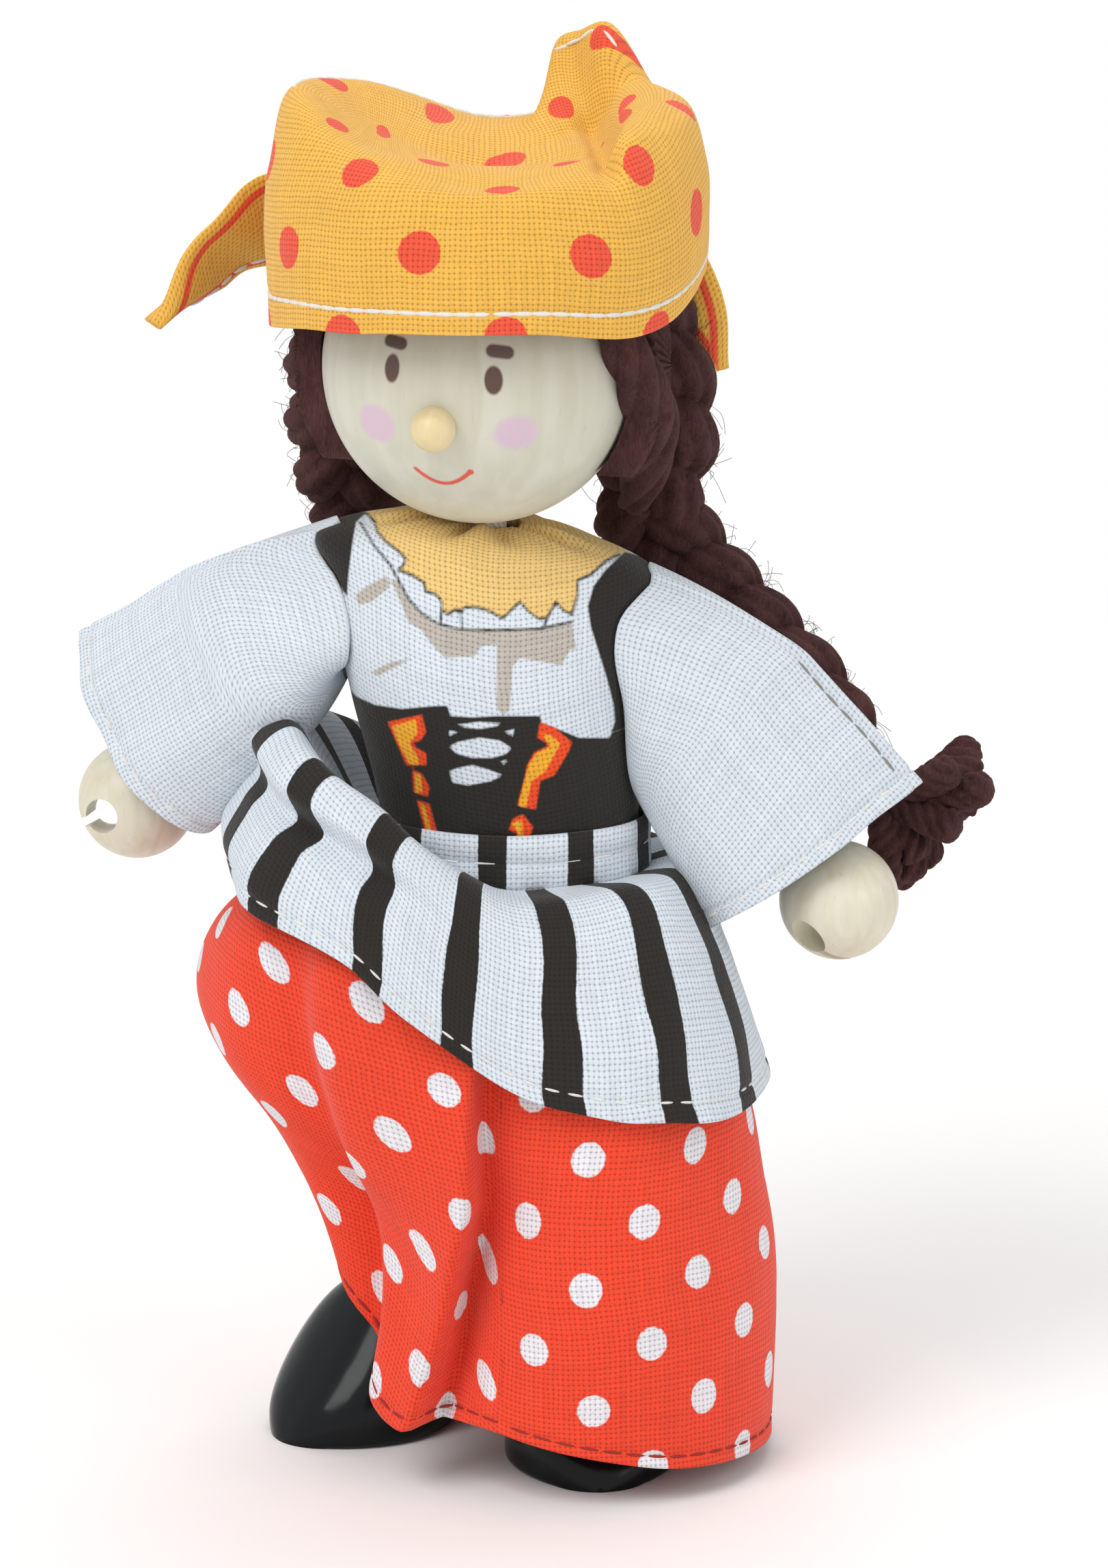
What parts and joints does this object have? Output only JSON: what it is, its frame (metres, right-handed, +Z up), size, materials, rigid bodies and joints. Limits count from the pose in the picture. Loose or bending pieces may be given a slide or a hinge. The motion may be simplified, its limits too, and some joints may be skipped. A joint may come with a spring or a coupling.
{
  "type": "bendy doll",
  "caption": "Small bendy doll with a wooden ball head, wooden hands and shoes, yarn plaits and sewn cotton clothes, standing on flat soles.",
  "frame": {"origin": "centre of the doll's box, on the ground under its soles", "axes": "+Z up, the doll faces -Y, +X is the doll's left"},
  "size_m": [0.0692, 0.0354, 0.101],
  "materials": {
    "bare_wood": "turned and sanded hardwood, unvarnished",
    "nose_wood": "small turned bead, lightly varnished",
    "lacquered_wood": "black gloss lacquer over wood",
    "yarn": "dark brown wool yarn",
    "thread": "white cotton thread wound round the wire",
    "wire": "soft annealed wire",
    "scarf_cotton": "yellow plain-weave cotton with orange-red dots",
    "blouse_cotton": "white plain-weave cotton",
    "bodice_cotton": "plain-weave cotton printed as a blouse and laced corset",
    "striped_cotton": "white plain-weave cotton with black stripes",
    "dotted_cotton": "red plain-weave cotton with white dots"
  },
  "bodies": {
    "torso": {"torso_core": "thread", "bodice": "bodice_cotton", "waistband": "striped_cotton", "overskirt": "striped_cotton", "skirt": "dotted_cotton"},
    "neck": {"neck_wire": "wire", "neck_wrap": "thread", "left_plait_tie": "yarn", "right_plait_tie": "yarn", "left_tassel": "yarn", "right_tassel": "yarn"},
    "head": {"head_ball": "bare_wood", "nose_bead": "nose_wood", "hair_cap": "yarn", "left_plait": "yarn", "right_plait": "yarn", "bandana": "scarf_cotton", "bandana_knot": "scarf_cotton", "bandana_left_tail": "scarf_cotton", "bandana_right_tail": "scarf_cotton"},
    "right_shoulder": {"right_shoulder_knuckle": "thread"},
    "right_upper_arm": {"right_upper_arm_wire": "wire", "right_upper_arm_wrap": "thread", "right_sleeve": "blouse_cotton"},
    "right_forearm": {"right_forearm_wire": "wire", "right_forearm_wrap": "thread"},
    "right_hand": {"right_hand": "bare_wood"},
    "left_shoulder": {"left_shoulder_knuckle": "thread"},
    "left_upper_arm": {"left_upper_arm_wire": "wire", "left_upper_arm_wrap": "thread", "left_sleeve": "blouse_cotton"},
    "left_forearm": {"left_forearm_wire": "wire", "left_forearm_wrap": "thread"},
    "left_hand": {"left_hand": "bare_wood"},
    "right_thigh": {"right_thigh_wire": "wire", "right_thigh_wrap": "thread"},
    "right_shin": {"right_shin_wire": "wire", "right_shin_wrap": "thread"},
    "right_foot": {"right_shoe": "lacquered_wood"},
    "left_thigh": {"left_thigh_wire": "wire", "left_thigh_wrap": "thread"},
    "left_shin": {"left_shin_wire": "wire", "left_shin_wrap": "thread"},
    "left_foot": {"left_shoe": "lacquered_wood"}
  },
  "joints": [
    {"name": "neck_nod", "type": "hinge", "parent": "torso", "child": "neck", "pos_m": [-0.00536, -0.00195, 0.06402], "axis": [1, 0, 0], "range_deg": [-8, 12], "deforming": ["left_plait", "right_plait", "left_plait_tie", "right_plait_tie", "left_tassel", "right_tassel", "bodice"]},
    {"name": "neck_turn", "type": "hinge", "parent": "neck", "child": "head", "pos_m": [-0.00575, -0.00275, 0.07922], "axis": [-0.0263, -0.0525, 0.9983], "range_deg": [-60, 60], "deforming": ["left_plait", "right_plait", "left_plait_tie", "right_plait_tie", "left_tassel", "right_tassel"]},
    {"name": "right_arm_swing", "type": "hinge", "parent": "torso", "child": "right_shoulder", "pos_m": [-0.01675, -0.00215, 0.06292], "axis": [0, 0, 1], "range_deg": [-25, 40], "deforming": ["right_sleeve", "overskirt", "skirt", "left_plait", "right_plait", "left_plait_tie", "right_plait_tie", "left_tassel", "right_tassel"]},
    {"name": "right_arm_raise", "type": "hinge", "parent": "right_shoulder", "child": "right_upper_arm", "pos_m": [-0.01675, -0.00215, 0.06292], "axis": [0.5345, 0.8452, 0], "range_deg": [-10, 60], "deforming": ["right_sleeve", "overskirt", "skirt", "left_plait", "right_plait", "left_plait_tie", "right_plait_tie", "left_tassel", "right_tassel"]},
    {"name": "right_elbow", "type": "hinge", "parent": "right_upper_arm", "child": "right_forearm", "pos_m": [-0.02337, 0.00204, 0.0545], "axis": [0.5345, 0.8452, 0], "range_deg": [-20, 60], "deforming": ["right_sleeve", "overskirt", "skirt", "left_plait", "right_plait", "left_plait_tie", "right_plait_tie", "left_tassel", "right_tassel"]},
    {"name": "right_wrist", "type": "hinge", "parent": "right_forearm", "child": "right_hand", "pos_m": [-0.02809, 0.00502, 0.0485], "axis": [0.5345, 0.8452, 0], "range_deg": [-35, 35], "deforming": ["right_sleeve", "overskirt", "skirt", "left_plait", "right_plait", "left_plait_tie", "right_plait_tie", "left_tassel", "right_tassel"]},
    {"name": "left_arm_swing", "type": "hinge", "parent": "torso", "child": "left_shoulder", "pos_m": [0.00605, -0.00215, 0.06072], "axis": [0, 0, 1], "range_deg": [-40, 30], "deforming": ["left_sleeve", "overskirt", "skirt", "left_plait", "right_plait", "left_plait_tie", "right_plait_tie", "left_tassel", "right_tassel"]},
    {"name": "left_arm_raise", "type": "hinge", "parent": "left_shoulder", "child": "left_upper_arm", "pos_m": [0.00605, -0.00215, 0.06072], "axis": [-0.1789, -0.9839, 0], "range_deg": [-12, 70], "deforming": ["left_sleeve", "overskirt", "skirt", "left_plait", "right_plait", "left_plait_tie", "right_plait_tie", "left_tassel", "right_tassel"]},
    {"name": "left_elbow", "type": "hinge", "parent": "left_upper_arm", "child": "left_forearm", "pos_m": [0.01248, -0.00332, 0.05126], "axis": [-0.1789, -0.9839, 0], "range_deg": [-15, 60], "deforming": ["left_sleeve", "overskirt", "skirt", "left_plait", "right_plait", "left_plait_tie", "right_plait_tie", "left_tassel", "right_tassel"]},
    {"name": "left_wrist", "type": "hinge", "parent": "left_forearm", "child": "left_hand", "pos_m": [0.01707, -0.00415, 0.04452], "axis": [-0.1789, -0.9839, 0], "range_deg": [-35, 35], "deforming": ["left_sleeve", "overskirt", "skirt", "left_plait", "right_plait", "left_plait_tie", "right_plait_tie", "left_tassel", "right_tassel"]},
    {"name": "right_hip", "type": "hinge", "parent": "torso", "child": "right_thigh", "pos_m": [-0.00835, -0.00135, 0.03852], "axis": [1, 0, 0], "range_deg": [-55, 25], "deforming": ["skirt", "overskirt"]},
    {"name": "right_knee", "type": "hinge", "parent": "right_thigh", "child": "right_shin", "pos_m": [-0.01481, -0.00227, 0.02446], "axis": [1, 0, 0], "range_deg": [-30, 45], "deforming": ["skirt", "overskirt"]},
    {"name": "right_ankle", "type": "hinge", "parent": "right_shin", "child": "right_foot", "pos_m": [-0.01306, 0.00425, 0.0094], "axis": [0.6691, -0.7431, 0], "range_deg": [-10, 15], "deforming": ["skirt", "overskirt"]},
    {"name": "left_hip", "type": "hinge", "parent": "torso", "child": "left_thigh", "pos_m": [-0.00036, -0.00135, 0.03852], "axis": [1, 0, 0], "range_deg": [-55, 25], "deforming": ["skirt", "overskirt"]},
    {"name": "left_knee", "type": "hinge", "parent": "left_thigh", "child": "left_shin", "pos_m": [0.00136, -0.00864, 0.02495], "axis": [1, 0, 0], "range_deg": [-30, 45], "deforming": ["skirt", "overskirt"]},
    {"name": "left_ankle", "type": "hinge", "parent": "left_shin", "child": "left_foot", "pos_m": [0.00194, -0.00315, 0.0094], "axis": [0.9976, 0.0698, 0], "range_deg": [-10, 15], "deforming": ["skirt", "overskirt"]}
  ]
}
